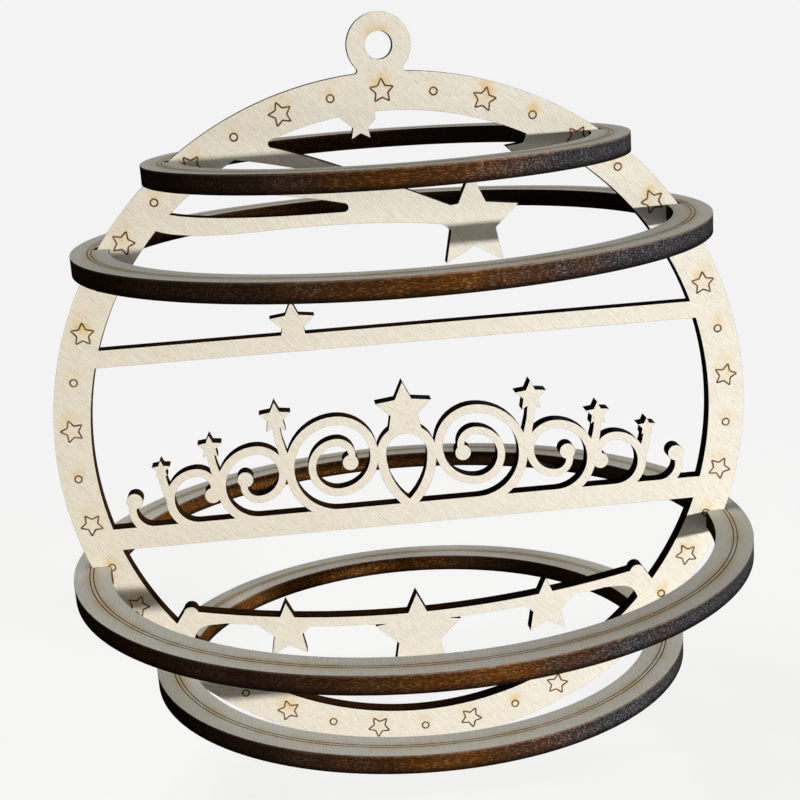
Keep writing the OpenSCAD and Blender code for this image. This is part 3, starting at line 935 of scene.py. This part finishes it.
def add_backdrop(scene, stage):
    """A world that shows as the pale backdrop and lights evenly and faintly."""
    world = bpy.data.worlds.new("studio")
    world.use_nodes = True
    scene.world = world
    graph = Graph(world.node_tree)
    background = world.node_tree.nodes["Background"].inputs
    background["Color"].default_value = (1, 1, 1, 1)
    graph.feed(background["Strength"], graph.blend(seen(graph), stage.world_strength, stage.backdrop))


def add_camera(scene, stage):
    """The camera, and plain colours in the picture."""
    camera = bpy.data.cameras.new("camera")
    camera.lens = stage.lens
    camera.sensor_width = SENSOR
    camera.shift_x = stage.shift_x
    camera.shift_y = stage.shift_y
    camera.clip_start = CLIP_START
    holder = bpy.data.objects.new("camera", camera)
    holder.location = PLATE_CENTRE + Vector(stage.camera_place)
    holder.rotation_euler = stage.camera_turn
    scene.collection.objects.link(holder)
    scene.camera = holder
    scene.view_settings.view_transform = "Standard"


# ---- Operators ----


class BAUBLE_OT_face_plate(Operator):
    """Build the pierced face plate with its burnt stars and circles"""

    bl_idname = "bauble.face_plate"
    bl_label = "Face plate"

    def execute(self, context):
        scene = context.scene
        marks = scene.bauble_engraving
        sheet = Sheet(PLATE, axis=1, side=-1, centre=PLATE_CENTRE.z, edges=scene.bauble_edges)
        front, back = sheet.edges()
        mark_r = PLATE_R - marks.mark_inset
        for k in range(2 * marks.mark_pairs):
            heading = math.pi / 2 - k * math.pi / marks.mark_pairs
            spot = (mark_r * math.cos(heading), PLATE_CENTRE.z + mark_r * math.sin(heading))
            if k % 2:
                outline = circle_outline(spot, marks.circle_radius, CIRCLE_STEPS)
            else:
                outline = star_outline(spot, marks.star_radius, marks.star_waist, heading)
            outer, inner = sheet.groove(outline, marks.line_width, marks.groove_depth)
            front.append(outer)
            sheet.cap([inner])
        sheet.cap(front)
        sheet.cap(back)
        colours = scene.bauble_colours
        edge = charred_edge("plate_edge", PLATE_AXES, colours, core=0.5, inner=0.7, rim=0.0)
        sheet.finish((plate_veneer(colours, marks), edge, burnt_line(colours)))
        return {"FINISHED"}


class BAUBLE_OT_rings(Operator):
    """Build the four flat rings with their score lines"""

    bl_idname = "bauble.rings"
    bl_label = "Rings"

    def execute(self, context):
        scene = context.scene
        marks, colours = scene.bauble_engraving, scene.bauble_colours
        # Painted shade and light: the upper rings' inward-facing edges are painted dark, the lower rings'
        # painted light towards the left
        upper = charred_edge("upper_ring_edge", RING_AXES, colours, core=1.0, inner=0.22, rim=0.7)
        lower = charred_edge("lower_ring_edge", RING_AXES, colours, core=1.0, inner=0.9, rim=0.7)
        for number, node in enumerate(RINGS):
            sheet = Sheet(node, axis=2, side=1, centre=0, edges=scene.bauble_edges)
            front, back = sheet.edges()
            outline = max(sheet.loops, key=lambda loop: max(u for u, _ in loop))
            hollow = min(sheet.loops, key=lambda loop: max(u for u, _ in loop))
            outer_r = max(math.hypot(u, v) for u, v in outline)
            slot_r = max(math.hypot(u, v) for u, v in hollow)
            inner_r = min(math.hypot(u, v) for u, v in hollow)
            score_r = max((outer_r + inner_r) / 2, slot_r + marks.score_gap)
            front.sort(key=row_reach)
            around = front.pop()
            for r in (score_r + marks.score_gap / 2, score_r - marks.score_gap / 2):
                count = math.ceil(2 * math.pi * r / scene.bauble_edges.arc_step)
                outer, inner = sheet.groove(circle_outline((0, 0), r, count), marks.score_width,
                                            marks.groove_depth)
                sheet.cap([around, outer])
                around = inner
            sheet.cap([around] + front)
            sheet.cap(back)
            veneer = ring_veneer_and_shade(node, colours, score_r, GRAIN_SHIFT * number)
            edge = upper if node in UPPER_RINGS else lower
            sheet.finish((veneer, edge, burnt_line(colours)))
        return {"FINISHED"}


class BAUBLE_OT_stage(Operator):
    """Add the floor, the lamps and the camera"""

    bl_idname = "bauble.stage"
    bl_label = "Stage"

    def execute(self, context):
        stage = context.scene.bauble_stage
        add_floor(context.scene, stage)
        add_lamps(context.scene, stage)
        add_backdrop(context.scene, stage)
        add_camera(context.scene, stage)
        return {"FINISHED"}


# ---- Panel ----


class BAUBLE_PT_panel(Panel):
    """The bauble's settings and steps"""

    bl_idname = "BAUBLE_PT_panel"
    bl_label = "Wooden bauble"
    bl_space_type = "VIEW_3D"
    bl_region_type = "UI"
    bl_category = "Bauble"

    def draw(self, context):
        for title, name, _ in SETTINGS:
            box = self.layout.box()
            box.label(text=title)
            settings = getattr(context.scene, name)
            for setting in settings.__annotations__:
                box.prop(settings, setting)
        for operator in OPERATORS:
            self.layout.operator(operator.bl_idname)


SETTINGS = (
    ("Engraving", "bauble_engraving", BaubleEngravingSettings),
    ("Cut edges", "bauble_edges", BaubleEdgeSettings),
    ("Colours", "bauble_colours", BaubleColours),
    ("Stage", "bauble_stage", BaubleStageSettings),
)
OPERATORS = (BAUBLE_OT_face_plate, BAUBLE_OT_rings, BAUBLE_OT_stage)


def register():
    for _, name, group in SETTINGS:
        bpy.utils.register_class(group)
        setattr(bpy.types.Scene, name, PointerProperty(type=group))
    for operator in OPERATORS:
        bpy.utils.register_class(operator)
    bpy.utils.register_class(BAUBLE_PT_panel)


def unregister():
    bpy.utils.unregister_class(BAUBLE_PT_panel)
    for operator in reversed(OPERATORS):
        bpy.utils.unregister_class(operator)
    for _, name, group in reversed(SETTINGS):
        delattr(bpy.types.Scene, name)
        bpy.utils.unregister_class(group)


def main():
    """Builds the bauble and its stage."""
    register()
    bpy.ops.bauble.face_plate()
    bpy.ops.bauble.rings()
    bpy.ops.bauble.stage()


if __name__ == "__main__":
    main()
